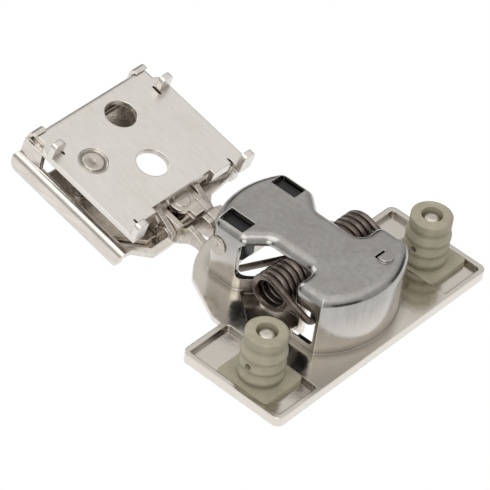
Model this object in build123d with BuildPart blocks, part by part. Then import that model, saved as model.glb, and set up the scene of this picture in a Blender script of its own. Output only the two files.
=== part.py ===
from build123d import *
from math import acos, atan2, cos, degrees, hypot, radians, sin
import os

os.makedirs("parts", exist_ok=True)

# Door side. The door's surface is z = 0 and the cup's axis is x = y = 0; the cup sinks up into the door.
sheet = 1.0
cup_r = 17.4
cup_depth = 12.4
top_round = 2.0
flange_r = 20.0
lobe_left = 10.2
lobe_right = 9.4
waist_half = 6.3
rear_half = 12.0
lobe_end = 7.6
waist_front = 4.0
wing_half = 28.8
wing_front = 3.4
wing_back = -19.4
pan_start = 16.6
pan_drop = 1.0
pan_corner = 1.5
dowel_x = 22.5
dowel_y = -9.5
dowel_top = 10.3
dowel_r = 3.9
dowel_ring_r = 4.2
dowel_bore_r = 2.0
dowel_rivet_r = 1.9

# The one pivot, across the cup's front lobe
pivot_y = 12.6
pivot_z = 7.4
pin_r = 1.4
pin_fit = 0.02
boss_r = 2.4

# Torsion springs, one in each flank of the waist
wire_r = 0.5
coil_r = 3.0
coil_y = -1.6
coil_z = 6.3
coil_in = 5.4
coil_out = 12.4
turns = 6
inner_leg_y = 10.6
inner_leg_z = 0.0
outer_leg_z = 5.15

# Room round the springs: the waist's rear step and the flank windows follow the coil
coil_outer_r = coil_r + wire_r
spring_room = 0.7
window_room = 0.3
window_front = 8.2
window_over = 0.9
waist_rear = coil_y - coil_outer_r - spring_room
outer_leg_y = waist_rear - 1.4

# Frame side. The mounting plate's face lies at 13 degrees to the door's surface when the hinge is wide open.
open_tilt = 13.0
plate_y = 26.1
plate_z = 1.97
plate_t = 1.2
plate_half = 15.8
plate_front = 0.8
plate_len = 28.7
plate_neck_half = 14.2
plate_neck_y = plate_len - 3.8
plate_round = 1.1
tab_w = 2.9
tab_h = 3.1
rear_tab_y = 22.5
notch_y = 4.1
tongue_in = 7.8
tongue_out = 12.4
tongue_z = -3.0
screw_hole_y = 11.4
screw_hole_r = 3.1

# Arm housing, a tray with lips under the mounting plate, and the slide that carries the neck in it
sheet_arm = 1.2
lip_z = -5.0
floor_z = -9.5
tray_half = 15.5
hook_gap = 0.1
hook_t = 0.6
tray_rear = plate_len + hook_gap + hook_t
lip_half = 18.6
neck_way_half = 6.2
web_t = 1.0
web_gap = 0.1
web_z = floor_z + sheet_arm + web_gap
web_top = web_z + web_t

# Adjusting cams, in the mounting plate's own axes
height_cam_x = -9.4
height_cam_y = 17.9
height_throw = 1.6
height_disc_r = 3.2
height_head_r = 2.8
depth_cam_x = 3.3
depth_cam_y = 22.6
depth_throw = 1.2
depth_disc_r = 3.2
cam_play = 0.07

# Neck: upright plates riveted between the slide's ears
neck_half = 4.4
neck_plate_t = 1.25
flange_gap = 0.35
ear_gap = 0.1
ear_t = 1.2
strap_top = -2.4
strap_t = 0.8
neck_rivet_r = 1.1
rivet_fit = 0.02
neck_rivet_points = [(0.9, -5.8), (4.0, -5.0)]

tilt = radians(open_tilt)
plate_plane = Plane(origin=(0, plate_y, plate_z), x_dir=(1, 0, 0), z_dir=(0, -sin(tilt), cos(tilt)))
pivot_u = (pivot_y - plate_y) * cos(tilt) + (pivot_z - plate_z) * sin(tilt)
pivot_v = (plate_y - pivot_y) * sin(tilt) + (pivot_z - plate_z) * cos(tilt)


def arm_level(z):
    """A plane parallel to the mounting plate's face, z above it."""
    return plate_plane.offset(z)


def arm_side(x):
    """The arm's upright lengthwise plane at x: first axis away from the cup, second up from the plate."""
    return Plane(origin=(x, plate_y, plate_z), x_dir=(0, cos(tilt), sin(tilt)), z_dir=(1, 0, 0))


def to_arm(y, z):
    """A point of the door side's axes in the arm's lengthwise plane."""
    dy = y - plate_y
    dz = z - plate_z
    return (dy * cos(tilt) + dz * sin(tilt), dz * cos(tilt) - dy * sin(tilt))


def cup_outline(inset):
    """The cup's hourglass: a narrow front lobe, a waist for the springs and a wide rear lobe."""
    rear_y = -((cup_r**2 - rear_half**2) ** 0.5)
    left_y = (cup_r**2 - lobe_left**2) ** 0.5
    right_y = (cup_r**2 - lobe_right**2) ** 0.5
    with BuildSketch() as outline:
        with BuildLine():
            ThreePointArc((-lobe_left, left_y), (0, cup_r), (lobe_right, right_y))
            Polyline(
                (lobe_right, right_y),
                (lobe_right, lobe_end),
                (waist_half, waist_front),
                (waist_half, waist_rear),
                (rear_half, waist_rear),
                (rear_half, rear_y),
            )
            ThreePointArc((rear_half, rear_y), (0, -cup_r), (-rear_half, rear_y))
            Polyline(
                (-rear_half, rear_y),
                (-rear_half, waist_rear),
                (-waist_half, waist_rear),
                (-waist_half, waist_front),
                (-lobe_left, lobe_end),
                (-lobe_left, left_y),
            )
        make_face()
        corners = outline.vertices()
        fillet(corners.filter_by(lambda v: abs(v.Y - waist_rear) < 0.1), 2.0)
        fillet(outline.vertices().filter_by(lambda v: v.Y > waist_front - 0.1), 2.2)
        if inset:
            offset(amount=-inset)
    return outline.sketch


# The cup: one drawn and pierced steel pressing with its two wings
with BuildPart() as cup:
    with BuildSketch(Plane.XY.offset(-sheet)):
        add(cup_outline(0))
    extrude(amount=cup_depth + sheet)
    fillet(cup.faces().sort_by(Axis.Z)[-1].edges(), top_round)
    # the flange: round at the front, drawn in at both sides where it runs into the wings
    flange_side = (13.4, (flange_r**2 - 13.4**2) ** 0.5)
    with BuildSketch(Plane.XY.offset(-sheet)):
        with BuildLine():
            ThreePointArc((-flange_side[0], flange_side[1]), (0, flange_r), flange_side)
            Polyline(
                flange_side,
                (18.2, 5.6),
                (18.6, wing_front - 1),
                (17.7, wing_front - 1),
                (17.7, wing_back),
                (-17.7, wing_back),
                (-17.7, wing_front - 1),
                (-18.6, wing_front - 1),
                (-18.2, 5.6),
                (-flange_side[0], flange_side[1]),
            )
        make_face()
    extrude(amount=sheet)
    # the wing ends are pressed down into shallow pans with a standing rim; a turned-down back edge joins them
    pan_len = wing_half - pan_start
    wing_mid = (wing_front + wing_back) / 2
    wing_width = wing_front - wing_back
    pan_places = [(-pan_start - pan_len / 2, wing_mid), (pan_start + pan_len / 2, wing_mid)]
    with BuildSketch(Plane.XY.offset(-sheet - pan_drop)):
        with Locations(pan_places):
            RectangleRounded(pan_len, wing_width, pan_corner)
        with Locations((0, wing_back + sheet / 2)):
            Rectangle(2 * pan_start + 6, sheet)
    extrude(amount=sheet + pan_drop)
    with BuildSketch(Plane.XY.offset(-pan_drop)):
        with Locations(pan_places):
            RectangleRounded(pan_len - 2 * sheet, wing_width - 2 * sheet, pan_corner - 0.9)
    extrude(amount=pan_drop, mode=Mode.SUBTRACT)
    # a shallow pocket in the flange under each spring
    pocket_drop = 0.8
    for side in (-1, 1):
        with BuildSketch(Plane.XY.offset(-sheet - pocket_drop)):
            with BuildLine():
                Polyline(
                    (side * 5.6, 7.4),
                    (side * 10.4, 7.4),
                    (side * 15.3, 1.2),
                    (side * 15.3, -6.9),
                    (side * 5.6, -6.9),
                    close=True,
                )
            make_face()
        extrude(amount=sheet)
        with BuildSketch(Plane.XY.offset(-pocket_drop)):
            with BuildLine():
                Polyline(
                    (side * 6.2, 6.4),
                    (side * 9.9, 6.4),
                    (side * 14.3, 0.8),
                    (side * 14.3, -6.0),
                    (side * 6.2, -6.0),
                    close=True,
                )
            make_face()
        extrude(amount=pocket_drop, mode=Mode.SUBTRACT)
    # the pockets' cut took a step out of the cup's walls at the waist: draw them again
    with BuildSketch(Plane.XY.offset(-sheet - pocket_drop)):
        add(cup_outline(0))
        Rectangle(2 * 15.3, 14.3, mode=Mode.INTERSECT)
    extrude(amount=3.0)
    # hollow the cup from its mouth
    with BuildSketch(Plane.XY.offset(-3)):
        add(cup_outline(sheet))
    extrude(amount=3 + cup_depth - sheet, mode=Mode.SUBTRACT)
    window_rear = coil_y - coil_outer_r - window_room
    window_low = coil_z - coil_outer_r - window_room
    window_high = coil_z + coil_outer_r + window_over
    for side in (-1, 1):
        # damper window in the cup's bottom
        with Locations((side * 6.95 - 0.25, 11.4, cup_depth)):
            Box(3.5, 5.6, 8, mode=Mode.SUBTRACT)
        # spring window through the front lobe's flank
        with BuildSketch(Plane.YZ.offset(side * 8.2)):
            with Locations(((window_front + window_rear) / 2, (window_low + window_high) / 2)):
                RectangleRounded(window_front - window_rear, window_high - window_low, 1.6)
        extrude(amount=3.9, both=True, mode=Mode.SUBTRACT)
        # slot for the spring's outer leg in the rear lobe's corner
        with Locations((side * 9.9, waist_rear - 1.1, 2.6)):
            Box(3.4, 3.0, 10.4, mode=Mode.SUBTRACT)
    # gap for the neck in the front wall
    with Locations((0, 16.6, 5.4)):
        Box(10.4, 4.0, 10.4, mode=Mode.SUBTRACT)
    # pivot holes
    with Locations(Location((0, pivot_y, pivot_z), (0, 90, 0))):
        Cylinder(pin_r + pin_fit, 60, mode=Mode.SUBTRACT)
    # dowel rivet holes
    with Locations((-dowel_x, dowel_y, -1.5), (dowel_x, dowel_y, -1.5)):
        Cylinder(dowel_rivet_r + 0.05, 3, mode=Mode.SUBTRACT)
    # lanced half-round bump in the rear lobe's bottom
    bump_r = 1.5
    with BuildSketch(Plane.XY.offset(cup_depth - 0.2)):
        with Locations((5.3, -12.4)):
            Circle(bump_r)
        with Locations((5.3, -12.4 + bump_r)):
            Rectangle(5, 1.6, mode=Mode.SUBTRACT)
    extrude(amount=0.65)
    with Locations((5.3, -12.4 + bump_r - 0.45, cup_depth)):
        Box(2 * bump_r - 0.4, 0.7, 4, mode=Mode.SUBTRACT)

cup.part.label = "cup"
export_step(cup.part, "parts/cup.step")


def press_in_dowel(x, foot_x):
    """A moulded dowel: a square foot in the pan, saw-toothed rings that hold in the door and a plain nose."""
    foot_top = 0.6
    ring_step = 2.1
    nose_z = foot_top + 3 * ring_step
    with BuildPart() as dowel:
        with BuildSketch(Plane.XY.offset(-pan_drop)):
            with Locations((foot_x, dowel_y)):
                RectangleRounded(pan_len - 2 * sheet - 2 * foot_gap, 11.6, 0.8)
        extrude(amount=pan_drop)
        with BuildSketch(Plane.XZ.offset(-dowel_y)):
            with BuildLine():
                Polyline((x, -0.4), (x + dowel_r - 0.2, -0.4), (x + dowel_r - 0.2, foot_top))
                for step in range(3):
                    low = foot_top + step * ring_step
                    Polyline(
                        (x + dowel_r - 0.2, low),
                        (x + dowel_ring_r, low + 0.1),
                        (x + dowel_ring_r, low + 0.7),
                        (x + dowel_r - 0.2, low + ring_step),
                    )
                Polyline(
                    (x + dowel_r - 0.2, nose_z),
                    (x + dowel_r, nose_z + 0.2),
                    (x + dowel_r, dowel_top - 0.4),
                    (x + dowel_r - 0.4, dowel_top),
                    (x, dowel_top),
                    (x, -0.4),
                )
            make_face()
        revolve(axis=Axis((x, dowel_y, 0), (0, 0, 1)))
        with Locations((x, dowel_y, 5)):
            Cylinder(dowel_bore_r, 14, mode=Mode.SUBTRACT)
    return dowel.part


# Press-in dowels, one in each wing
foot_gap = 0.05
left_dowel = press_in_dowel(-dowel_x, -pan_start - pan_len / 2)
right_dowel = press_in_dowel(dowel_x, pan_start + pan_len / 2)
left_dowel.label = "left_dowel"
right_dowel.label = "right_dowel"
export_step(left_dowel, "parts/left_dowel.step")
export_step(right_dowel, "parts/right_dowel.step")

# Steel rivets that hold the dowels to the wings
with BuildPart() as dowel_rivets:
    rivet_foot = -pan_drop - sheet
    rivet_head_t = 0.6
    rivet_top = dowel_top - 0.5
    with BuildSketch(Plane.XY.offset(rivet_foot - rivet_head_t)):
        with Locations((-dowel_x, dowel_y), (dowel_x, dowel_y)):
            Circle(dowel_rivet_r)
    extrude(amount=rivet_top - rivet_foot + rivet_head_t)
    with BuildSketch(Plane.XY.offset(rivet_foot - rivet_head_t)):
        with Locations((-dowel_x, dowel_y), (dowel_x, dowel_y)):
            Circle(3.0)
    extrude(amount=rivet_head_t)
    fillet(dowel_rivets.faces().filter_by(Axis.Z).group_by(Axis.Z)[-1].edges(), 1.3)
    chamfer(dowel_rivets.faces().filter_by(Axis.Z).group_by(Axis.Z)[0].edges(), 0.3)

dowel_rivets.part.label = "dowel_rivets"
export_step(dowel_rivets.part, "parts/dowel_rivets.step")

# Pivot pin, riveted over at both ends
with BuildPart() as pivot_pin:
    pin_head_t = 0.44
    with BuildSketch(Plane.YZ.offset(-lobe_left)):
        with Locations((pivot_y, pivot_z)):
            Circle(pin_r)
    extrude(amount=lobe_left + lobe_right)
    for face_x, side in zip((-lobe_left, lobe_right), (-1, 1)):
        with BuildSketch(Plane.YZ.offset(face_x)):
            with Locations((pivot_y, pivot_z)):
                Circle(pin_r + 0.45)
        extrude(amount=side * pin_head_t)
    chamfer(pivot_pin.faces().sort_by(Axis.X)[0].edges(), 0.2)
    chamfer(pivot_pin.faces().sort_by(Axis.X)[-1].edges(), 0.2)

pivot_pin.part.label = "pivot_pin"
export_step(pivot_pin.part, "parts/pivot_pin.step")

# Torsion springs. One is wound about its own axis and set in place; the other is its mirror image.
reach_in = hypot(inner_leg_y - coil_y, inner_leg_z - coil_z)
angle_in = degrees(atan2(inner_leg_z - coil_z, inner_leg_y - coil_y) + acos(coil_r / reach_in))
reach_out = hypot(outer_leg_y - coil_y, outer_leg_z - coil_z)
angle_out = degrees(atan2(outer_leg_z - coil_z, outer_leg_y - coil_y) - acos(coil_r / reach_out)) + 360.0
sweep_turns = turns + (angle_out - angle_in) / 360.0
coil_len = coil_out - coil_in
start_leg = (reach_in**2 - coil_r**2) ** 0.5
end_leg = (reach_out**2 - coil_r**2) ** 0.5
end_angle = radians(angle_out - angle_in)
coil_seat = Plane(
    origin=(coil_in, coil_y, coil_z),
    x_dir=(0, cos(radians(angle_in)), sin(radians(angle_in))),
    z_dir=(1, 0, 0),
)
with BuildPart() as wound:
    root_lap = 0.25
    with BuildLine():
        turn = Helix(coil_len / sweep_turns, coil_len, coil_r)
    with BuildSketch(Plane(origin=turn @ 0, z_dir=turn % 0)):
        Circle(wire_r)
    sweep(path=turn)
    with BuildSketch(Plane(origin=(coil_r, root_lap, 0), z_dir=(0, -1, 0))):
        Circle(wire_r - 0.02)
    extrude(amount=start_leg + root_lap)
    tail = Vector(-sin(end_angle), cos(end_angle), 0)
    root = Vector(coil_r * cos(end_angle), coil_r * sin(end_angle), coil_len)
    with BuildLine():
        hook = Polyline(
            root - tail * root_lap,
            root + tail * end_leg + Vector(0, 0, -2.0),
            root + tail * (end_leg + 1.5) + Vector(0, 0, -3.0),
        )
    with BuildSketch(Plane(origin=hook @ 0, z_dir=hook % 0)):
        Circle(wire_r - 0.02)
    sweep(path=hook, transition=Transition.ROUND)

right_spring = wound.part.moved(coil_seat.location)
left_spring = right_spring.mirror(Plane.YZ)
right_spring.label = "right_spring"
left_spring.label = "left_spring"
export_step(right_spring, "parts/right_spring.step")
export_step(left_spring, "parts/left_spring.step")

# Damper housing: a moulding under the cup's bottom, hung on the pivot pin, with the damper's body at the rear
with BuildPart() as damper_housing:
    moulding_top = cup_depth - sheet - 0.25
    moulding_t = 0.75
    slider_z = moulding_top - moulding_t - 0.95
    with BuildSketch(Plane.XY.offset(moulding_top - moulding_t)):
        add(cup_outline(sheet + 0.25))
        with Locations((0, -20)):
            Rectangle(60, 9, mode=Mode.SUBTRACT)
        with Locations((0, 17.4)):
            Rectangle(60, 6, mode=Mode.SUBTRACT)
    extrude(amount=moulding_t)
    with BuildSketch(Plane.XY.offset(3.6)):
        with BuildLine():
            Polyline(
                (-8.4, -13.6),
                (-8.4, waist_rear - 2.4),
                (-4.7, waist_rear - 2.4),
                (-4.7, -4.8),
                (4.7, -4.8),
                (4.7, waist_rear - 2.4),
                (8.4, waist_rear - 2.4),
                (8.4, -13.6),
            )
            ThreePointArc((8.4, -13.6), (0, -15.8), (-8.4, -13.6))
        make_face()
    extrude(amount=moulding_top - moulding_t - 3.6)
    with Locations((0, -9.0, slider_z)):
        Box(7.9, 12.0, 1.9, mode=Mode.SUBTRACT)
    for side in (-1, 1):
        with BuildSketch(Plane.XY.offset(5.2)):
            with Locations((side * 6.4, 11.35)):
                RectangleRounded(3.6, 5.9, 0.5)
        extrude(amount=moulding_top - 5.2)
    with Locations(Location((0, pivot_y, pivot_z), (0, 90, 0))):
        Cylinder(pin_r + 0.06, 30, mode=Mode.SUBTRACT)

damper_housing.part.label = "damper_housing"
export_step(damper_housing.part, "parts/damper_housing.step")

# Damper slider: the bar the neck pushes back as the door closes
with BuildPart() as damper_slider:
    with Locations((0, 1.6, slider_z)):
        Box(7.6, 17.0, 1.7)
    fillet(damper_slider.edges().filter_by(Axis.X).sort_by(Axis.Y)[-2:], 0.5)

damper_slider.part.label = "damper_slider"
export_step(damper_slider.part, "parts/damper_slider.step")

# Mounting plate: flat, with four upright locating tabs, a notched front and two tongues rolled down
with BuildPart() as mounting_plate:
    relief = 0.5
    with BuildSketch(arm_level(-plate_t)):
        with BuildLine():
            Polyline(
                (-plate_half, plate_front),
                (plate_half, plate_front),
                (plate_half, plate_neck_y),
                (plate_neck_half, plate_neck_y + 0.9),
                (plate_neck_half, plate_len),
                (-plate_neck_half, plate_len),
                (-plate_neck_half, plate_neck_y + 0.9),
                (-plate_half, plate_neck_y),
                close=True,
            )
        make_face()
        with Locations((0, notch_y - 3)):
            RectangleRounded(2 * (tongue_out + relief), 6, relief / 2, mode=Mode.SUBTRACT)
        # relief cuts beside the rear tabs
        with Locations((-plate_half + tab_w, rear_tab_y + 0.6), (plate_half - tab_w, rear_tab_y + 0.6)):
            RectangleRounded(relief, 2.2, 0.2, mode=Mode.SUBTRACT)
    extrude(amount=plate_t)
    fillet(mounting_plate.edges().filter_by(Axis.X).sort_by(Axis.Z)[-1], plate_round)
    for side in (-1, 1):
        with BuildSketch(arm_side(side * tongue_in)) as tongue:
            with BuildLine():
                Polyline(
                    (notch_y + 0.4, 0),
                    (notch_y - plate_t, 0),
                    (notch_y - plate_t, tongue_z),
                    (notch_y, tongue_z),
                    (notch_y, -plate_t),
                    (notch_y + 0.4, -plate_t),
                    close=True,
                )
            make_face()
            fillet(tongue.vertices().sort_by(Axis.Y)[0:2].sort_by(Axis.Z)[-1], 1.0)
        extrude(amount=side * (tongue_out - tongue_in))
        for tab_y in (plate_front, rear_tab_y):
            with BuildSketch(plate_plane.rotated((90, 0, 0)).offset(-tab_y)):
                with Locations((side * (plate_half - tab_w / 2), tab_h / 2)):
                    RectangleRounded(tab_w, tab_h, 0.9)
                with Locations((side * (plate_half - tab_w / 2), 0)):
                    Rectangle(tab_w, 2)
            extrude(amount=-plate_t)
    with BuildSketch(arm_level(0)):
        with Locations((-0.26, screw_hole_y)):
            Circle(screw_hole_r)
        with Locations((2.9, 22.9)):
            Circle(screw_hole_r)
        with Locations((height_cam_x, height_cam_y)):
            Circle(height_head_r - 0.6)
    extrude(amount=-5, mode=Mode.SUBTRACT)
    with BuildSketch(arm_level(0)):
        with Locations((height_cam_x, height_cam_y)):
            Circle(height_head_r + cam_play)
    extrude(amount=-0.35, mode=Mode.SUBTRACT)

mounting_plate.part.label = "mounting_plate"
export_step(mounting_plate.part, "parts/mounting_plate.step")

# The tray's outline has three front edges: one level at the left, one slanting and one set back at the right.
# They lean back from the lips (low = 0) to the floor (low = 1).
slant_top = -12.9
slant_low = -7.8
front_top = -1.6
front_low = 0.2
step_line = 5.7
back_top = 2.6
back_low = 4.2


def tray_outline(low, inset):
    """The pressed tray's outline at a level, taken in all round by inset."""
    half = tray_half - inset
    slant = slant_top + (slant_low - slant_top) * low + inset * 2**0.5
    front = front_top + (front_low - front_top) * low + inset
    back = back_top + (back_low - back_top) * low + inset
    step = step_line - inset * 2**0.5
    with BuildSketch() as tray:
        with BuildLine():
            Polyline(
                (-half, tray_rear - inset),
                (-half, slant + half),
                (slant - front, front),
                (step + front, front),
                (step + back, back),
                (half, back),
                (half, tray_rear - inset),
                close=True,
            )
        make_face()
    return tray.sketch


# Arm housing: a pressed tray with side lips, whose two hooks grip the plate's far edge
with BuildPart() as arm_housing:
    inner_low = (lip_z - floor_z - sheet_arm) / (lip_z - floor_z)
    with BuildSketch(arm_level(floor_z)):
        add(tray_outline(1, 0))
    with BuildSketch(arm_level(lip_z)):
        add(tray_outline(0, 0))
    loft(ruled=True)
    with BuildSketch(arm_level(lip_z - sheet_arm)) as lips:
        with BuildLine():
            Polyline(
                (-tray_half, tray_rear),
                (-17.4, tray_rear + 0.6),
                (-lip_half, tray_rear - 0.6),
                (-lip_half, 1.6),
                (-14.2, 1.2),
                (-11.2, -1.8),
                (-5, -1.8),
                (5, -0.8),
                (8.2, 2.1),
                (14.2, 2.7),
                (lip_half, 2.8),
                (lip_half, tray_rear - 0.6),
                (17.4, tray_rear + 0.6),
                (tray_half, tray_rear),
                close=True,
            )
        make_face()
        fillet(lips.vertices().filter_by(lambda v: abs(v.X) > 17), 0.9)
    extrude(amount=sheet_arm)
    with BuildSketch(arm_level(floor_z + sheet_arm)):
        add(tray_outline(inner_low, sheet_arm))
    with BuildSketch(arm_level(lip_z)):
        add(tray_outline(0, sheet_arm))
    loft(ruled=True, mode=Mode.SUBTRACT)
    # the lips' bend is rounded where they turn down into the tray
    mouth = []
    for edge in arm_housing.edges():
        middle = plate_plane.to_local_coords(edge @ 0.5)
        if abs(middle.Z - lip_z) < 0.01 and edge.length > 20 and middle.Y < tray_rear - 0.5:
            if abs(middle.X) < tray_half - 0.5:
                mouth.append(edge)
    fillet(mouth, 1.0)
    hook_tip = (plate_len - 0.2, 0.42)
    # hooks over the plate's rounded far edge, ears under its front corners, and the raised rear corners
    for side in (-1, 1):
        with BuildSketch(arm_side(side * 12.0)):
            with BuildLine():
                Polyline(
                    (plate_len - 0.7, lip_z - 2),
                    (plate_len - 0.7, -2.6),
                    (plate_len - 2.1, -2.6),
                    (plate_len - 2.1, -plate_t - 0.05),
                    (plate_len + hook_gap, -plate_t - 0.05),
                    (plate_len + hook_gap, -0.9),
                    (plate_len - 0.4, 0),
                    (plate_len - 0.9, 0.1),
                    (plate_len - 0.9, 0.35),
                    hook_tip,
                )
                ThreePointArc(hook_tip, (plate_len + 0.45, 0.1), (tray_rear, -0.7))
                Polyline((tray_rear, -0.7), (tray_rear, lip_z - 2), (plate_len - 0.7, lip_z - 2))
            make_face()
        extrude(amount=side * 2.9)
        with BuildSketch(arm_side(side * (tray_half - sheet_arm))):
            with BuildLine():
                Polyline(
                    (3.4, lip_z - 1),
                    (3.4, -plate_t - 0.05),
                    (6.0, -plate_t - 0.05),
                    (6.6, lip_z - 1),
                    close=True,
                )
            make_face()
            with BuildLine():
                Polyline(
                    (plate_neck_y - 0.5, lip_z - 1),
                    (plate_neck_y, -plate_t - 0.15),
                    (tray_rear, -plate_t - 0.15),
                    (tray_rear, lip_z - 1),
                    close=True,
                )
            make_face()
        extrude(amount=side * sheet_arm)
    # way out for the neck, screw access, sight hole and the two cams' holes
    with BuildSketch(arm_level(floor_z + sheet_arm)):
        with Locations((0, -0.3)):
            Rectangle(2 * neck_way_half, 5.6)
    extrude(amount=8, mode=Mode.SUBTRACT)
    with BuildSketch(arm_level(floor_z)):
        with Locations((2.9, 12.5)):
            RectangleRounded(15.8, 11.6, 2.0)
        with Locations((-10.4, tray_rear - 3.5)):
            RectangleRounded(5.6, 3.4, 1.0)
        with Locations((height_cam_x, height_cam_y + 0.88 * height_throw)):
            SlotOverall(2 * (height_disc_r + cam_play) + 0.7, 2 * (height_disc_r + cam_play), rotation=90)
        with Locations((depth_cam_x, depth_cam_y)):
            Circle(1.75)
    extrude(amount=sheet_arm, mode=Mode.SUBTRACT)

arm_housing.part.label = "arm_housing"
export_step(arm_housing.part, "parts/arm_housing.step")

# Slide: the carrier that runs on the tray's floor, with two ears for the neck
with BuildPart() as arm_slide:
    ear_out = neck_half + ear_gap + ear_t
    web_half = tray_half - sheet_arm - 0.1
    with BuildSketch(arm_level(web_z)):
        with BuildLine():
            Polyline(
                (-web_half, tray_rear - 2.2),
                (-web_half, 7.6),
                (-8.5, 1.9),
                (-ear_out, 1.9),
                (-ear_out, -0.9),
                (ear_out, -0.9),
                (ear_out, 2.8),
                (8.8, 5.9),
                (web_half, 5.9),
                (web_half, tray_rear - 2.2),
                close=True,
            )
        make_face()
        with Locations((2.6, 12.6)):
            RectangleRounded(15.2, 11.0, 2.0, mode=Mode.SUBTRACT)
        with Locations((height_cam_x, height_cam_y)):
            Circle(3.0, mode=Mode.SUBTRACT)
        with Locations((depth_cam_x + 0.88 * depth_throw, depth_cam_y)):
            depth_slot_w = 2 * (depth_disc_r + cam_play)
            SlotOverall(depth_slot_w + 0.6, depth_slot_w, mode=Mode.SUBTRACT)
        with Locations((-10.4, tray_rear - 3.7)):
            RectangleRounded(6.0, 4.2, 1.0, mode=Mode.SUBTRACT)
    extrude(amount=web_t)
    for side in (-1, 1):
        with BuildSketch(arm_side(side * (neck_half + ear_gap))) as ear:
            with BuildLine():
                Polyline(
                    (-0.9, web_z),
                    (-0.9, -4.6),
                    (4.2, strap_top),
                    (5.8, -3.1),
                    (5.8, web_z),
                    close=True,
                )
            make_face()
            fillet(ear.vertices().filter_by(lambda v: v.Z > plate_z - 5.5), 0.7)
        extrude(amount=side * ear_t)
    with BuildSketch(arm_side(-10)):
        with Locations(neck_rivet_points):
            Circle(neck_rivet_r + rivet_fit)
    extrude(amount=20, mode=Mode.SUBTRACT)

arm_slide.part.label = "arm_slide"
export_step(arm_slide.part, "parts/arm_slide.step")

# Neck plates. From the pivot pin they reach down past the flange's edge, in a notch that lets it swing by,
# and end between the slide's ears.
inner_rim = to_arm(((cup_r - sheet) ** 2 - neck_half**2) ** 0.5, -sheet)
outer_rim = to_arm(flange_r, -sheet)
notch_u = inner_rim[0] - flange_gap
strap_low = strap_top - strap_t


def neck_plate(x_from, count, crest):
    """Upright plates of one outline side by side from x_from; crest is their height by the flange."""
    with BuildPart() as neck:
        with BuildSketch(arm_side(x_from)):
            with BuildLine():
                ThreePointArc(
                    (pivot_u - boss_r, pivot_v),
                    (pivot_u, pivot_v + boss_r),
                    (pivot_u + boss_r, pivot_v),
                )
                Polyline(
                    (pivot_u + boss_r, pivot_v),
                    (notch_u, 1.6),
                    (notch_u, inner_rim[1] - flange_gap),
                    (outer_rim[0] + 0.5, outer_rim[1] - flange_gap),
                    (-4.2, crest),
                    (-2.4, crest),
                    (-1.0, strap_low),
                    (5.0, strap_low),
                    (5.6, strap_low - 0.6),
                    (5.6, web_top),
                    (-1.4, web_top),
                    (-3.8, -4.8),
                    (-5.1, -4.24),
                    (-6.35, -4.08),
                    (notch_u - 0.4, -3.8),
                    (pivot_u - boss_r, 0.5),
                    (pivot_u - boss_r, pivot_v),
                )
            make_face()
            with Locations((pivot_u, pivot_v)):
                Circle(pin_r + pin_fit, mode=Mode.SUBTRACT)
            with Locations(neck_rivet_points):
                Circle(neck_rivet_r + rivet_fit, mode=Mode.SUBTRACT)
        extrude(amount=count * neck_plate_t)
    return neck.part


inner_neck_plate = neck_plate(neck_half - 4 * neck_plate_t, 1, -0.9)
middle_neck_plates = neck_plate(neck_half - 3 * neck_plate_t, 2, -0.6)
outer_neck_plate = neck_plate(neck_half - neck_plate_t, 1, -1.0)
neck_lever = neck_plate(-neck_half, 1, -1.5)
inner_neck_plate.label = "inner_neck_plate"
middle_neck_plates.label = "middle_neck_plates"
outer_neck_plate.label = "outer_neck_plate"
neck_lever.label = "neck_lever"
export_step(inner_neck_plate, "parts/inner_neck_plate.step")
export_step(middle_neck_plates, "parts/middle_neck_plates.step")
export_step(outer_neck_plate, "parts/outer_neck_plate.step")
export_step(neck_lever, "parts/neck_lever.step")

# Strap lying along the top of the neck plates, with a round staked end
with BuildPart() as neck_strap:
    with BuildSketch(arm_level(strap_low)):
        with Locations((0.1, 3.1)):
            Circle(2.6)
        with Locations((1.0, 1.0)):
            Rectangle(2.7, 4.0)
    extrude(amount=strap_t)
    with BuildSketch(arm_level(strap_top)):
        with Locations((0.1, 3.1)):
            Circle(1.6)
    extrude(amount=0.15)

neck_strap.part.label = "neck_strap"
export_step(neck_strap.part, "parts/neck_strap.step")

# Rivets across the neck's plates and the slide's ears
with BuildPart() as neck_rivets:
    with BuildSketch(arm_side(-ear_out)):
        with Locations(neck_rivet_points):
            Circle(neck_rivet_r)
    extrude(amount=2 * ear_out)
    for side in (-1, 1):
        with BuildSketch(arm_side(side * ear_out)):
            with Locations(neck_rivet_points):
                Circle(neck_rivet_r + 0.5)
        extrude(amount=side * 0.4)
    chamfer(neck_rivets.faces().sort_by(Axis.X)[0].edges(), 0.2)
    chamfer(neck_rivets.faces().sort_by(Axis.X)[-1].edges(), 0.2)

neck_rivets.part.label = "neck_rivets"
export_step(neck_rivets.part, "parts/neck_rivets.step")


def disc(x, y, bottom, top, radius):
    """A round step of a cam, its axis square to the mounting plate."""
    with BuildPart() as step:
        with BuildSketch(arm_level(bottom)):
            with Locations((x, y)):
                Circle(radius)
        extrude(amount=top - bottom)
    return step.part


def cross_slot(x, y, bottom, span):
    """The screwdriver's cross in a cam's head under the tray."""
    with BuildPart() as cross:
        with BuildSketch(arm_level(bottom)):
            with Locations((x, y)):
                Rectangle(span, 1.1)
                Rectangle(1.1, span)
        extrude(amount=0.7)
    return cross.part


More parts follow.
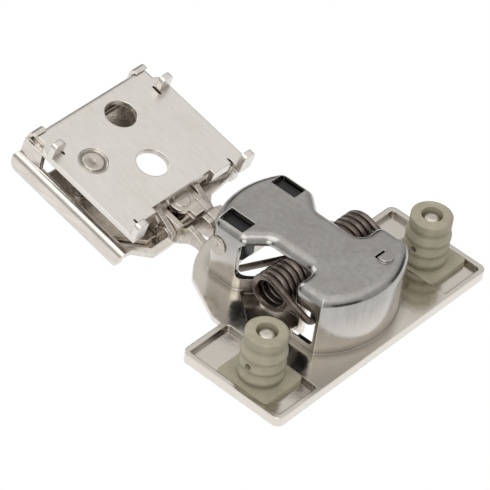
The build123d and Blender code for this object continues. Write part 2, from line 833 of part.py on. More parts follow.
# Height cam: riveted into the mounting plate, its eccentric disc works in the tray's slot
cam_head_z = floor_z - 1.1
with BuildPart() as height_cam:
    add(disc(height_cam_x, height_cam_y, -0.33, -0.03, height_head_r))
    add(disc(height_cam_x, height_cam_y, -plate_t - 0.1, -0.3, height_head_r - 0.63))
    add(disc(height_cam_x, height_cam_y, -2.2, -plate_t - 0.06, 2.9))
    add(disc(height_cam_x, height_cam_y, floor_z, -2.1, 1.5))
    eccentric_y = height_cam_y + height_throw
    add(disc(height_cam_x, eccentric_y, floor_z - 0.1, floor_z + sheet_arm - 0.03, height_disc_r))
    add(disc(height_cam_x, height_cam_y, cam_head_z, floor_z - 0.06, 4.4))
    add(cross_slot(height_cam_x, height_cam_y, cam_head_z, 5.6), mode=Mode.SUBTRACT)

height_cam.part.label = "height_cam"
export_step(height_cam.part, "parts/height_cam.step")

# Depth cam: turns in the tray's floor and moves the slide
with BuildPart() as depth_cam:
    add(disc(depth_cam_x, depth_cam_y, cam_head_z, floor_z - 0.06, 3.4))
    add(disc(depth_cam_x, depth_cam_y, floor_z - 0.1, web_z - 0.03, 1.7))
    eccentric_x = depth_cam_x + depth_throw
    add(disc(eccentric_x, depth_cam_y, web_z - 0.05, web_top + 0.08, depth_disc_r))
    add(disc(eccentric_x, depth_cam_y, web_top + 0.06, web_top + 0.8, depth_disc_r + 0.8))
    add(cross_slot(depth_cam_x, depth_cam_y, cam_head_z, 5.0), mode=Mode.SUBTRACT)

depth_cam.part.label = "depth_cam"
export_step(depth_cam.part, "parts/depth_cam.step")
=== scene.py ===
from math import acos, atan2, cos, hypot, pi, radians, sin

import bmesh
import bpy
from mathutils import Matrix, Vector
from mathutils.bvhtree import BVHTree
from mathutils.geometry import barycentric_transform


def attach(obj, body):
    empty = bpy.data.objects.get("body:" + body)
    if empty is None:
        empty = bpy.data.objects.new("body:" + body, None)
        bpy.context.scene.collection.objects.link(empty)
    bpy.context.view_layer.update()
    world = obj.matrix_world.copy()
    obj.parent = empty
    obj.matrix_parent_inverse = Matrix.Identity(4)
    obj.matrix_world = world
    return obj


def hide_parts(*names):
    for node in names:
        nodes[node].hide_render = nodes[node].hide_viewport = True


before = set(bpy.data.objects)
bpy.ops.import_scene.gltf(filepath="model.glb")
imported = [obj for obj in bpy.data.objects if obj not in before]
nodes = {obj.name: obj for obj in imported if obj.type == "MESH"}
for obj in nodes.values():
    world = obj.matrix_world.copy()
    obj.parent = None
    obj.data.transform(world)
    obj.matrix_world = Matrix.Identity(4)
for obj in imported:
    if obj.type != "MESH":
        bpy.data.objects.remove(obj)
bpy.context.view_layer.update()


# Mounting plate: a flat blank of 1 mm cold-rolled steel with four tabs bent up, pierced for the wood
# screw and for a driver. It's barrel-plated in nickel, so its face is satin with faint rolling lines
# and its sheared edges shine.
def linear(code):
    """A #rrggbb colour as linear RGBA."""
    parts = [int(code[i : i + 2], 16) / 255 for i in (1, 3, 5)]
    return tuple(p / 12.92 if p <= 0.04045 else ((p + 0.055) / 1.055) ** 2.4 for p in parts) + (1.0,)


def add_node(tree, kind, settings=None, links=None):
    """A shader node with its settings, and its sockets joined by links: {socket: (node, output)}."""
    made = tree.nodes.new("ShaderNode" + kind)
    for key, value in (settings or {}).items():
        if isinstance(key, int) or key in made.inputs.keys():
            made.inputs[key].default_value = value
        else:
            setattr(made, key, value)
    for key, (source, output) in (links or {}).items():
        tree.links.new(source.outputs[output], made.inputs[key])
    return made


def new_tree(name):
    made = bpy.data.materials.new(name)
    made.use_nodes = True
    made.node_tree.nodes.clear()
    return made, made.node_tree


def set_ramp(ramp, *stops):
    """Gives a two-stop colour ramp its stops: (place, colour)."""
    for stop, (place, colour) in zip(ramp.color_ramp.elements, stops):
        stop.position, stop.color = place, linear(colour)


def per_mm(size):
    """A texture's scale that gives features of that size in millimetres."""
    return 1000.0 / size


def nickel_plate(name, light, dark, satin, lines, relief=0.2, drawn=None, corner_shade=(0.0016, 0.78)):
    """Nickel on steel: cloudy warm grey, rolling lines, scuffs, fine pits, and edges the tumbling has rounded.

    satin is the range of roughness. lines squeezes the 5 mm grain along each axis into die or rolling lines,
    which are drawn about ten times coarser than real ones so that they show. drawn is for a deep pressing:
    the roughness where the die has rubbed it, and the tone it fades to at its flange; then only a face that
    looks along Z stays satin. The last argument is painted shade: how far from a corner, in metres, a dark
    brown is painted into the hollows, and how much of it covers them. The rounded edges get a painted
    highlight, a paler colour along them.
    """
    made, tree = new_tree(name)
    where = add_node(tree, "TexCoord")
    at = {"Vector": (where, "Object")}
    cloud = add_node(tree, "TexNoise", {"Scale": per_mm(7.0), "Detail": 4.0, "Roughness": 0.6}, at)
    along = {"Vector": (add_node(tree, "Mapping", {"Scale": lines}, at), "Vector")}
    rolled = add_node(tree, "TexNoise", {"Scale": per_mm(5.0), "Detail": 5.0, "Roughness": 0.65}, along)
    skewed = add_node(tree, "Mapping", {"Scale": (0.5, 9.0, 3.0), "Rotation": (0.2, 0.1, 0.9)}, at)
    scuff = add_node(tree, "TexNoise", {"Scale": per_mm(3.5), "Detail": 3.0}, {"Vector": (skewed, "Vector")})
    marks = add_node(tree, "MapRange", {"From Min": 0.50, "From Max": 0.85}, {"Value": (scuff, "Fac")})
    pits = add_node(tree, "TexNoise", {"Scale": per_mm(0.7), "Detail": 4.0, "Roughness": 0.7}, at)

    both = add_node(tree, "Math", {"operation": "ADD"}, {0: (cloud, "Fac"), 1: (rolled, "Fac")})
    half = add_node(tree, "Math", {"operation": "MULTIPLY", 1: 0.5}, {0: (both, 0)})
    tone = add_node(tree, "ValToRGB", links={"Fac": (half, 0)})
    set_ramp(tone, (0.36, dark), (0.62, light))
    spread = {"From Min": 0.35, "From Max": 0.65}
    face_spread = {**spread, "To Min": satin[0], "To Max": satin[1]}
    base = add_node(tree, "MapRange", face_spread, {"Value": (cloud, "Fac")})
    colour, rough = (tone, "Color"), (base, "Result")
    if drawn:
        burnished, flange_tone = drawn
        wall_top = 0.009
        lift = add_node(tree, "SeparateXYZ", links=at)
        low = add_node(tree, "MapRange", {"From Min": wall_top, "From Max": 0.0}, {"Value": (lift, "Z")})
        fade = {"Factor": (low, "Result"), "A": colour}
        colour = (add_node(tree, "Mix", {"data_type": "RGBA", "B": linear(flange_tone)}, fade), "Result")
        facing = add_node(tree, "SeparateXYZ", links={"Vector": (where, "Normal")})
        level = add_node(tree, "Math", {"operation": "ABSOLUTE"}, {0: (facing, "Z")})
        flat = add_node(tree, "MapRange", {"From Min": 0.93, "From Max": 0.995}, {"Value": (level, 0)})
        high = add_node(tree, "MapRange", {"To Min": 1.0, "To Max": 0.0}, {"Value": (low, "Result")})
        kept = add_node(tree, "Math", {"operation": "MULTIPLY"}, {0: (high, "Result"), 1: (flat, "Result")})
        rubbing = {**spread, "To Min": burnished[0], "To Max": burnished[1]}
        rubbed = add_node(tree, "MapRange", rubbing, {"Value": (rolled, "Fac")})
        sides = {"Factor": (kept, 0), "A": (rubbed, "Result"), "B": rough}
        rough = (add_node(tree, "Mix", {"data_type": "FLOAT"}, sides), "Result")

    round_edge = add_node(tree, "Bevel", {"samples": 6, "Radius": 0.00028})
    face = add_node(tree, "NewGeometry")
    pair = {0: (round_edge, "Normal"), 1: (face, "Normal")}
    match = add_node(tree, "VectorMath", {"operation": "DOT_PRODUCT"}, pair)
    edge = add_node(tree, "MapRange", {"From Min": 0.995, "From Max": 0.86}, {"Value": (match, "Value")})
    # Painted highlight: the colour turns paler along every rounded edge.
    edge_highlight_mix = {"Factor": (edge, "Result"), "A": colour}
    edge_highlighted = add_node(tree, "Mix", {"data_type": "RGBA", "B": linear("#efebe4")}, edge_highlight_mix)

    # Painted shade: the colour turns dark brown near corners and in hollows, found by ambient occlusion.
    reach, cover = corner_shade
    open_air = add_node(tree, "AmbientOcclusion", {"samples": 16, "only_local": True, "Distance": reach})
    shade_mask = add_node(
        tree, "MapRange", {"From Min": 0.80, "From Max": 0.15, "To Max": cover}, {"Value": (open_air, "AO")}
    )
    shade_mix = {"Factor": (shade_mask, "Result"), "A": (edge_highlighted, "Result")}
    corner_shaded = add_node(tree, "Mix", {"data_type": "RGBA", "B": linear("#4b3f36")}, shade_mix)

    dulled = {0: (marks, "Result"), 2: rough}
    scuffed = add_node(tree, "Math", {"operation": "MULTIPLY_ADD", 1: 0.03}, dulled)
    polished = {0: (edge, "Result"), 2: (scuffed, 0)}
    worn = add_node(tree, "Math", {"operation": "MULTIPLY_ADD", 1: -0.10, "use_clamp": True}, polished)

    fine = add_node(tree, "Math", {"operation": "MULTIPLY_ADD", 1: 0.5}, {0: (pits, "Fac"), 2: (rolled, "Fac")})
    waves = add_node(tree, "Math", {"operation": "MULTIPLY_ADD", 1: 1.6}, {0: (cloud, "Fac"), 2: (fine, 0)})
    bumps = add_node(
        tree,
        "Bump",
        {"Strength": relief, "Distance": 0.00006},
        {"Height": (waves, 0), "Normal": (round_edge, "Normal")},
    )
    body = add_node(
        tree,
        "BsdfPrincipled",
        {"Metallic": 1.0},
        {"Base Color": (corner_shaded, "Result"), "Roughness": (worn, 0), "Normal": (bumps, "Normal")},
    )
    add_node(tree, "OutputMaterial", links={"Surface": (body, "BSDF")})
    return made


def finish_as(material, *names):
    for name in names:
        piece = nodes[name]
        piece.data.materials.clear()
        piece.data.materials.append(material)


plate_nickel = nickel_plate(
    "satin nickel on rolled steel", "#ebe7e2", "#dfdad4", (0.27, 0.36), lines=(9.0, 1.0, 9.0)
)
finish_as(plate_nickel, "mounting_plate")


# Arm housing: one deep pressing of the same steel under the plate, its long lips turned down outside the
# walls and its four corners hooked round the plate's far edge. The folds are drawn tight, so they are
# brighter and glossier than the plate, with die lines along them.
PLATE_ORIGIN = Vector((0.0, 0.0261, 0.00197))
PLATE_TURN = Matrix.Rotation(radians(13), 3, "X")


def fresh_copy(node, name):
    """A CAD node's mesh as a piece of its own, its split corners joined again."""
    mesh = nodes[node].data.copy()
    mesh.name = name
    mesh.materials.clear()
    shape = bmesh.new()
    shape.from_mesh(mesh)
    bmesh.ops.remove_doubles(shape, verts=shape.verts, dist=1e-7)
    piece = bpy.data.objects.new(name, mesh)
    bpy.context.scene.collection.objects.link(piece)
    return piece, shape


def write_back(piece, shape):
    shape.to_mesh(piece.data)
    shape.free()


def keep_crisp(piece, sharp=28):
    """Smooths the curves, with crisp folds over that angle in degrees and clean normals on the flats."""
    for face in piece.data.polygons:
        face.use_smooth = True
    piece.data.set_sharp_from_angle(angle=radians(sharp))
    flats = piece.modifiers.new("flats", "WEIGHTED_NORMAL")
    flats.keep_sharp = True


def turned_down_lips():
    """The housing with its flat side lips rolled down round a tight fold and drawn longer past it."""
    piece, shape = fresh_copy("arm_housing", "housing_pressing")
    fold_from, sheet, inner_r, bend = 0.01545, 0.0012, 0.00025, radians(86)
    outer_r = sheet + inner_r
    fold_run = bend * outer_r
    facets, drawn_longer = 8, 1.35
    for n in range(facets + 1):
        for side in (-1, 1):
            where = (side * (fold_from + n * fold_run / facets), 0, 0)
            geom = list(shape.verts) + list(shape.edges) + list(shape.faces)
            bmesh.ops.bisect_plane(shape, geom=geom, dist=1e-8, plane_co=where, plane_no=(1, 0, 0))
    lip_top, lip_lowest, lip_highest = -0.005, -0.0065, -0.0048
    for vert in shape.verts:
        flat = PLATE_TURN.transposed() @ (vert.co - PLATE_ORIGIN)
        past = abs(flat.x) - fold_from
        if past <= 0 or flat.z < lip_lowest or flat.z > lip_highest:
            continue
        radius = outer_r - (lip_top - flat.z)
        past *= drawn_longer if past > fold_run else 1.0
        angle = min(past / outer_r, bend)
        run = max(past - fold_run, 0)
        out = fold_from + radius * sin(angle) + run * cos(bend)
        down = lip_top - outer_r + radius * cos(angle) - run * sin(bend)
        flat = Vector((out if flat.x > 0 else -out, flat.y, down))
        vert.co = PLATE_TURN @ flat + PLATE_ORIGIN
    write_back(piece, shape)
    keep_crisp(piece)
    return piece


housing_nickel = nickel_plate(
    "bright nickel on folded steel", "#e9e4dd", "#d0c9c0", (0.20, 0.30), lines=(9.0, 0.8, 9.0), relief=0.15
)
housing = turned_down_lips()
housing.data.materials.append(housing_nickel)
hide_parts("arm_housing")
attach(housing, "housing")


# Adjusting cams: two turned steel studs, riveted so that they still turn. The height cam's head sits in
# the plate's ring, and the depth cam shows its slot at the bottom of the driver's hole.

# The turning tool leaves rings round them, which the plating keeps, so they glint rather than mirror.
cam_nickel = nickel_plate(
    "nickel on turned steel", "#d3ccc2", "#b3aaa0", (0.22, 0.32), lines=(6.0, 6.0, 1.0), relief=0.5
)


def formed_head(shape, centre, axis, rim, rings):
    """Reforms a stud's flat round end, inside the radius rim, into rings in mm: (radius, height)."""
    level, square_on = 2e-5, 0.99
    top = [f for f in shape.faces if f.normal.dot(axis) > square_on]
    top = [f for f in top if all(abs((v.co - centre).dot(axis)) < level for v in f.verts)]
    top = [f for f in top if (f.calc_center_median() - centre).length < rim]
    edges = {e for f in top for e in f.edges if sum(other in top for other in e.link_faces) == 1}
    bmesh.ops.delete(shape, geom=top, context="FACES_ONLY")
    ring = [e for e in edges if e.is_valid]
    for radius, height in rings:
        grown = bmesh.ops.extrude_edge_only(shape, edges=ring)["geom"]
        ring = [g for g in grown if isinstance(g, bmesh.types.BMEdge)]
        for vert in {v for e in ring for v in e.verts}:
            flat = vert.co - centre
            flat -= axis * flat.dot(axis)
            vert.co = centre + flat.normalized() * (radius / 1000) + axis * (height / 1000)
    bmesh.ops.contextual_create(shape, geom=ring)
    bmesh.ops.recalc_face_normals(shape, faces=shape.faces)


height_cam, shape = fresh_copy("height_cam", "height_cam_stud")
head = PLATE_TURN @ Vector((-0.0094, 0.0179, -0.00003)) + PLATE_ORIGIN
groove = ((2.68, 0.0), (2.55, -0.10), (2.42, -0.26), (2.18, -0.27), (2.06, -0.10), (1.92, -0.02))
punch_mark = ((0.5, -0.02), (0.38, -0.12), (0.15, -0.15))
formed_head(shape, head, PLATE_TURN @ Vector((0, 0, 1)), 0.003, groove + punch_mark)
write_back(height_cam, shape)
keep_crisp(height_cam)
height_cam.data.materials.append(cam_nickel)
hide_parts("height_cam")
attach(height_cam, "height cam")
finish_as(cam_nickel, "depth_cam")


# Neck: the slide in the housing and the stack of pierced plates, lever and strap that carry the cup, held
# by two cross rivets. Blanked steel, tumbled and plated, so the sheared edges are streaked and the plates'
# faces are smooth and bright.
neck_nickel = nickel_plate(
    "bright nickel on blanked steel", "#d6cec5", "#aea59b", (0.15, 0.26), lines=(1.0, 7.0, 2.0), relief=0.6
)
finish_as(neck_nickel, "arm_slide", "inner_neck_plate", "middle_neck_plates", "outer_neck_plate")
finish_as(neck_nickel, "neck_lever", "neck_strap", "neck_rivets")


# Cup: one deep-drawn steel pressing with the wing, the dished dowel seats and the pierced windows in it.
# The punch leaves its flat bottom satin and cool grey, and the die burnishes the walls and the big radius
# between them almost to a mirror.
cup_nickel = nickel_plate(
    "drawn nickel-plated steel",
    "#b9b7b3",
    "#a5a29e",
    (0.30, 0.38),
    lines=(5.0, 5.0, 0.7),
    relief=0.22,
    drawn=((0.13, 0.22), "#e2dcd3"),
    # The painted shade reaches further on the cup, into its pans and round the foot of its walls.
    corner_shade=(0.0035, 0.85),
)


def cut_out(piece, tool, name):
    """Takes the tool, a bmesh, out of the piece."""
    mesh = bpy.data.meshes.new(name)
    tool.to_mesh(mesh)
    tool.free()
    cutter = bpy.data.objects.new(name, mesh)
    bpy.context.scene.collection.objects.link(cutter)
    cut = piece.modifiers.new(name, "BOOLEAN")
    cut.operation, cut.solver, cut.object = "DIFFERENCE", "EXACT", cutter
    after = piece.evaluated_get(bpy.context.evaluated_depsgraph_get())
    piece.data = bpy.data.meshes.new_from_object(after)
    piece.modifiers.clear()
    bpy.data.objects.remove(cutter)


def shade_like(mesh, source):
    """Gives each corner the normal that the source mesh has there, so the drawn curves stay smooth."""
    same_face, same_turn = 0.995, 0.9
    tree = BVHTree.FromPolygons([v.co for v in source.vertices], [p.vertices[:] for p in source.polygons])
    smooth = [n.vector.copy() for n in source.corner_normals]
    normals = [(0.0, 0.0, 1.0)] * len(mesh.loops)
    for face in mesh.polygons:
        face.use_smooth = True
        like = source.polygons[tree.find_nearest(face.center)[2]]
        corners = [source.vertices[v].co for v in like.vertices[:3]]
        turned = [smooth[n] for n in like.loop_indices[:3]]
        for loop in face.loop_indices:
            normal = face.normal.copy()
            if like.normal.dot(normal) > same_face:
                spot = mesh.vertices[mesh.loops[loop].vertex_index].co
                there = barycentric_transform(spot, *corners, *turned).normalized()
                normal = there if there.dot(normal) > same_turn else normal
            normals[loop] = tuple(normal)
    mesh.normals_split_custom_set(normals)


def windowed_cup():
    """The pressing with the hook windows through the rear lobe's two flanks."""
    piece, shape = fresh_copy("cup", "cup_pressing")
    write_back(piece, shape)
    back, front, low, high = -0.0119, -0.0066, 0.0014, 0.0087
    flank_x, through, corner_r = 0.0117, 0.0026, 0.0009
    punch = bmesh.new()
    for side in (-1, 1):
        made = bmesh.ops.create_cube(punch, size=1.0)["verts"]
        for vert in made:
            x, y, z = vert.co
            vert.co = Vector((x * through + side * flank_x, y * (front - back), z * (high - low)))
            vert.co += Vector((0, (front + back) / 2, (high + low) / 2))
        ours = [e for e in punch.edges if e.verts[0] in made]
        crosswise = [e for e in ours if abs(e.verts[0].co.x - e.verts[1].co.x) > through / 2]
        bmesh.ops.bevel(punch, geom=crosswise, offset=corner_r, segments=5, affect="EDGES", profile=0.5)
    cut_out(piece, punch, "punch")
    shade_like(piece.data, nodes["cup"].data)
    return piece


cup = windowed_cup()
cup.data.materials.clear()
cup.data.materials.append(cup_nickel)
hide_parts("cup")
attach(cup, "door side")

# The hinge turns in the cup on a turned steel pin, whose ends are set over in the flanks with a round punch.
pin, shape = fresh_copy("pivot_pin", "pivot_pin_rivet")
set_over = ((1.45, 0.0), (0.42, 0.0), (0.3, -0.10), (0.1, -0.13))
for outward, x in ((-1, -0.01064), (1, 0.00984)):
    formed_head(shape, Vector((x, 0.0126, 0.0074)), Vector((outward, 0, 0)), 0.0019, set_over)
write_back(pin, shape)
keep_crisp(pin)
pin.data.materials.append(cam_nickel)
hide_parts("pivot_pin")
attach(pin, "door side")


# Springs: two torsion springs of 1.4 mm oil-tempered wire, wound cold and left dark. The oil leaves a
# brown-black skin that shines along the top of each turn, and little light gets in between the turns.
def spring_wire(name, light, dark):
    """Steel under a thin, uneven skin of burnt oil. The drawing marks are coarser than real ones, to show."""
    made, tree = new_tree(name)
    at = {"Vector": (add_node(tree, "TexCoord"), "Object")}
    skin = add_node(tree, "TexNoise", {"Scale": per_mm(3.5), "Detail": 3.0, "Roughness": 0.5}, at)
    drawn = add_node(tree, "TexNoise", {"Scale": per_mm(0.6), "Detail": 3.0}, at)
    tone = add_node(tree, "ValToRGB", links={"Fac": (skin, "Fac")})
    set_ramp(tone, (0.35, dark), (0.68, light))
    gloss = {"From Min": 0.3, "From Max": 0.7, "To Min": 0.20, "To Max": 0.34}
    rough = add_node(tree, "MapRange", gloss, {"Value": (drawn, "Fac")})
    open_air = add_node(tree, "AmbientOcclusion", {"samples": 16, "only_local": True, "Distance": 0.0015})
    shade_mask = add_node(
        tree, "MapRange", {"From Min": 0.80, "From Max": 0.28, "To Max": 0.92}, {"Value": (open_air, "AO")}
    )
    between = {"Factor": (shade_mask, "Result"), "A": (tone, "Color")}
    shaded = add_node(tree, "Mix", {"data_type": "RGBA", "B": linear("#15110f")}, between)
    bumps = add_node(tree, "Bump", {"Strength": 0.08, "Distance": 0.00003}, {"Height": (drawn, "Fac")})
    body = add_node(
        tree,
        "BsdfPrincipled",
        {"Metallic": 0.85},
        {"Base Color": (shaded, "Result"), "Roughness": (rough, "Result"), "Normal": (bumps, "Normal")},
    )
    add_node(tree, "OutputMaterial", links={"Surface": (body, "BSDF")})
    return made


oiled = spring_wire("oil-tempered spring steel", "#857a73", "#4f443e")


def wound(side, name):
    """One spring, in mm: a leg from under the neck, the turns out along X, and a hooked leg in the flank."""
    wire_r, mean_r, turns, heart, first_x, last_x = 0.68, 3.34, 5, (-1.6, 7.05), 5.3, 12.6
    inner, outer = (10.4, 0.2), (-10.5, 7.45)
    hook = (
        (12.75, -7.6, 8.35),
        (12.78, -10.2, 7.5),
        (12.6, -10.9, 7.25),
        (12.1, -11.15, 7.1),
        (11.2, -11.2, 7.0),
        (10.2, -11.2, 6.9),
    )

    def leaves_coil(to, sense):
        dy, dz = to[0] - heart[0], to[1] - heart[1]
        return atan2(dz, dy) + sense * acos(mean_r / hypot(dy, dz))

    start, stop = leaves_coil(inner, 1), leaves_coil(outer, -1) + 2 * pi * turns
    line = [(first_x, *inner)]
    steps = 200
    for n in range(steps + 1):
        turn = start + (stop - start) * n / steps
        x = first_x + (last_x - first_x) * n / steps
        line.append((x, heart[0] + mean_r * cos(turn), heart[1] + mean_r * sin(turn)))
    line += hook
    data = bpy.data.curves.new(name, "CURVE")
    data.dimensions = "3D"
    data.bevel_depth, data.bevel_resolution, data.use_fill_caps = wire_r / 1000, 5, True
    run = data.splines.new("POLY")
    run.points.add(len(line) - 1)
    for point, (x, y, z) in zip(run.points, line):
        point.co = (side * x / 1000, y / 1000, z / 1000, 1)
    guide = bpy.data.objects.new(name, data)
    bpy.context.scene.collection.objects.link(guide)
    after = guide.evaluated_get(bpy.context.evaluated_depsgraph_get())
    mesh = bpy.data.meshes.new_from_object(after)
    bpy.data.objects.remove(guide)
    mesh.name = name
    for face in mesh.polygons:
        face.use_smooth = True
    mesh.set_sharp_from_angle(angle=radians(60))
    mesh.materials.clear()
    mesh.materials.append(oiled)
    piece = bpy.data.objects.new(name, mesh)
    bpy.context.scene.collection.objects.link(piece)
    return piece


for side, word in ((-1, "left"), (1, "right")):
    spring = wound(side, word + "_spring_wire")
    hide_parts(word + "_spring")
    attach(spring, "door side")


# Damper: a sealed acetal moulding under the cup's bottom, black, with its slider between the neck's plates.
# It shows in the two square windows and beside the coils, with a soft moulded sheen.
def moulding(name, light, dark, rough, speck_mm, relief, through=0.0):
    """A moulded plastic: faintly cloudy, with specks of that size, and through is how far light gets in."""
    made, tree = new_tree(name)
    at = {"Vector": (add_node(tree, "TexCoord"), "Object")}
    cloud = add_node(tree, "TexNoise", {"Scale": per_mm(4.0), "Detail": 4.0, "Roughness": 0.6}, at)
    speck = add_node(tree, "TexNoise", {"Scale": per_mm(speck_mm), "Detail": 4.0, "Roughness": 0.6}, at)
    mixed = {0: (speck, "Fac"), 2: (cloud, "Fac")}
    blend = add_node(tree, "Math", {"operation": "MULTIPLY_ADD", 1: 0.35}, mixed)
    tone = add_node(tree, "ValToRGB", links={"Fac": (blend, 0)})
    set_ramp(tone, (0.5, dark), (0.85, light))
    sheen = {"From Min": 0.3, "From Max": 0.7, "To Min": rough[0], "To Max": rough[1]}
    gloss = add_node(tree, "MapRange", sheen, {"Value": (cloud, "Fac")})
    round_edge = add_node(tree, "Bevel", {"samples": 6, "Radius": 0.0002})
    bumps = add_node(
        tree,
        "Bump",
        {"Strength": relief, "Distance": 0.00005},
        {"Height": (speck, "Fac"), "Normal": (round_edge, "Normal")},
    )
    body = add_node(
        tree,
        "BsdfPrincipled",
        {"Subsurface Weight": through, "Subsurface Radius": (0.0008, 0.0007, 0.0005), "Subsurface Scale": 1.0},
        {"Base Color": (tone, "Color"), "Roughness": (gloss, "Result"), "Normal": (bumps, "Normal")},
    )
    add_node(tree, "OutputMaterial", links={"Surface": (body, "BSDF")})
    return made


black_acetal = moulding("moulded black acetal", "#1b1b1d", "#0e0e0f", (0.28, 0.40), 0.5, 0.2)
finish_as(black_acetal, "damper_housing", "damper_slider")


# Dowels: two press-in plugs moulded in beige nylon, each with a square foot in the wing's dished seat,
# saw-toothed rings that bite the wood, and a steel rivet up its bore, set over at both ends.

# Nylon is slightly milky, so its edges look soft.
beige_nylon = moulding("moulded beige nylon", "#b4ae99", "#a19b86", (0.42, 0.58), 0.6, 0.35, through=0.08)


def moulded_dowel(name, x):
    """The plug with its saw-toothed rings spread up to the nose and the small cross hole near its foot."""
    piece, shape = fresh_copy(name, name + "_plug")
    ring_from, ring_to, nose_from, top = 0.0006, 0.0069, 0.0079, 0.0103
    for vert in shape.verts:
        z = vert.co.z
        if ring_from < z <= ring_to:
            vert.co.z = ring_from + (z - ring_from) * (nose_from - ring_from) / (ring_to - ring_from)
        elif ring_to < z < top:
            vert.co.z = nose_from + (z - ring_to) * (top - nose_from) / (top - ring_to)
    write_back(piece, shape)
    cross_r, deep, side_x, dowel_y, cross_z = 0.00062, 0.003, x - 0.0038, -0.0095, 0.0041
    aim = Matrix.Translation((side_x, dowel_y, cross_z)) @ Matrix.Rotation(pi / 2, 4, "Y")
    drill = bmesh.new()
    bmesh.ops.create_cone(
        drill, cap_ends=True, segments=28, radius1=cross_r, radius2=cross_r, depth=deep, matrix=aim
    )
    cut_out(piece, drill, "drill")
    keep_crisp(piece, sharp=16)
    piece.data.materials.clear()
    piece.data.materials.append(beige_nylon)
    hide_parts(name)
    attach(piece, "door side")


moulded_dowel("left_dowel", -0.0225)
moulded_dowel("right_dowel", 0.0225)

# Cold-heading leaves the rivets smooth, so they are brighter than the pressings.
rivet_nickel = nickel_plate(
    "nickel on cold-headed steel", "#e2dcd2", "#c6beb3", (0.24, 0.34), lines=(5.0, 5.0, 5.0), relief=0.3
)
finish_as(rivet_nickel, "dowel_rivets")


# Table: a white paper sweep under the hinge, low enough for the cup to swing down as the hinge shuts. The
# camera and the metal's reflections see it pure white. Only scattered light meets the paper itself, with
# the hinge's own soft shadow on it.
def paper_sweep():
    mesh = bpy.data.meshes.new("paper_sweep")
    half, low = 1.5, -0.0245
    corners = [(-half, -half, low), (half, -half, low), (half, half, low), (-half, half, low)]
    mesh.from_pydata(corners, [], [(0, 1, 2, 3)])
    ground = bpy.data.objects.new("paper_sweep", mesh)
    bpy.context.scene.collection.objects.link(ground)
    made, tree = new_tree("white paper")
    paper = add_node(tree, "BsdfDiffuse", {"Color": linear("#e4e2df")})
    white = add_node(tree, "Emission", {"Color": (1, 1, 1, 1), "Strength": 1.0})
    path = add_node(tree, "LightPath")
    straight = {0: (path, "Is Camera Ray"), 1: (path, "Is Glossy Ray")}
    first = add_node(tree, "Math", {"operation": "MAXIMUM"}, straight)
    seen = add_node(tree, "Math", {"operation": "MAXIMUM"}, {0: (first, 0), 1: (path, "Is Transmission Ray")})
    mix = add_node(tree, "MixShader", links={0: (seen, 0), 1: (paper, 0), 2: (white, 0)})
    add_node(tree, "OutputMaterial", links={"Surface": (mix, 0)})
    mesh.materials.append(made)


paper_sweep()


# Studio: a pale tent whose walls fall to grey near the table, dark boards standing round it, and three
# soft boxes. The metal mirrors the tent, while the camera sees white behind it.
def soft_box(name, place, aim, size, power):
    data = bpy.data.lights.new(name, "AREA")
    data.shape = "RECTANGLE"
    data.size, data.size_y = size
    data.energy = power
    lamp = bpy.data.objects.new(name, data)
    bpy.context.scene.collection.objects.link(lamp)
    lamp.location = place
    lamp.rotation_euler = (Vector(aim) - Vector(place)).to_track_quat("-Z", "Y").to_euler()


hinge_middle = (0, 0.01, 0)
soft_box("key", (-0.30, -0.05, 0.60), hinge_middle, (0.55, 0.55), 0.85)
soft_box("fill", (-0.60, -0.35, 0.25), hinge_middle, (0.42, 0.36), 0.75)
soft_box("rim", (0.05, 0.60, 0.30), hinge_middle, (0.32, 0.28), 0.35)


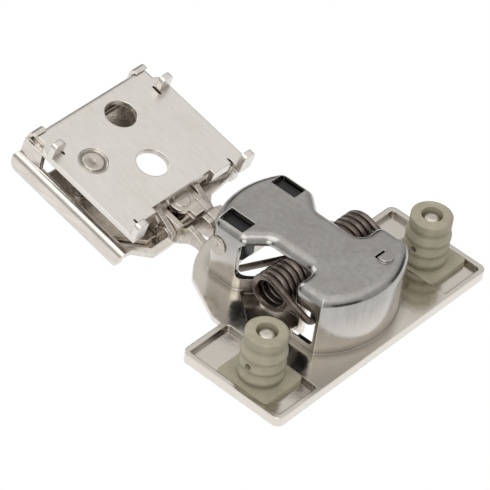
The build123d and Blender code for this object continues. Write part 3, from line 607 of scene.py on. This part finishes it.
def tent():
    """The tent's grey by height, times the boards: five dark ones round the horizon, gone higher up."""
    world = bpy.data.worlds.new("tent")
    bpy.context.scene.world = world
    world.use_nodes = True
    tree = world.node_tree
    tree.nodes.clear()
    where = add_node(tree, "TexCoord")
    part = add_node(tree, "SeparateXYZ", links={"Vector": (where, "Generated")})
    height = add_node(tree, "ValToRGB", links={"Fac": (part, "Z")})
    steps = ((0.0, 0.42), (0.20, 0.52), (0.50, 0.56), (0.69, 0.66), (0.79, 0.95), (1.0, 0.95))
    for n, (place, grey) in enumerate(steps):
        ends = {0: height.color_ramp.elements[0], len(steps) - 1: height.color_ramp.elements[-1]}
        step = ends.get(n) or height.color_ramp.elements.new(place)
        step.position, step.color = place, (grey, grey * 0.99, grey * 0.97, 1)
    angle = add_node(tree, "Math", {"operation": "ARCTAN2"}, {0: (part, "Y"), 1: (part, "X")})
    turns = add_node(tree, "Math", {"operation": "MULTIPLY_ADD", 1: 5.0, 2: 0.6}, {0: (angle, 0)})
    boards = add_node(tree, "Math", {"operation": "SINE"}, {0: (turns, 0)})
    darkest = {"From Min": -0.35, "From Max": 0.1, "To Min": 0.15, "To Max": 1.0}
    edge = add_node(tree, "MapRange", darkest, {"Value": (boards, 0)})
    over = add_node(tree, "MapRange", {"From Min": 0.30, "From Max": 0.48}, {"Value": (part, "Z")})
    clear = add_node(tree, "Math", {"operation": "MAXIMUM"}, {0: (edge, "Result"), 1: (over, "Result")})
    shade = add_node(tree, "VectorMath", {"operation": "MULTIPLY"}, {0: (height, "Color"), 1: (clear, 0)})
    cloth = add_node(tree, "Background", {"Strength": 1.0}, {"Color": (shade, 0)})
    white = add_node(tree, "Background", {"Color": (1, 1, 1, 1), "Strength": 1.0})
    path = add_node(tree, "LightPath")
    mix = add_node(tree, "MixShader", links={0: (path, "Is Camera Ray"), 1: (cloth, 0), 2: (white, 0)})
    add_node(tree, "OutputWorld", links={"Surface": (mix, 0)})


tent()


# Camera: a long lens 0.65 m off, looking down over the near end of the wing. It is rolled some 9
# degrees about its own axis.
def long_lens():
    data = bpy.data.cameras.new("camera")
    data.sensor_width = 36
    data.lens = 264.4
    data.clip_start = 0.05
    camera = bpy.data.objects.new("camera", data)
    bpy.context.scene.collection.objects.link(camera)
    place = (-0.390595, -0.265757, 0.434481)
    look = Vector((0.602996, 0.432029, -0.670632))
    up = Vector((0.447837, 0.512371, 0.732747))
    turn = Matrix((look.cross(up), up, -look)).transposed().to_4x4()
    camera.matrix_world = Matrix.Translation(place) @ turn
    bpy.context.scene.camera = camera


long_lens()
bpy.context.scene.view_settings.view_transform = "Standard"
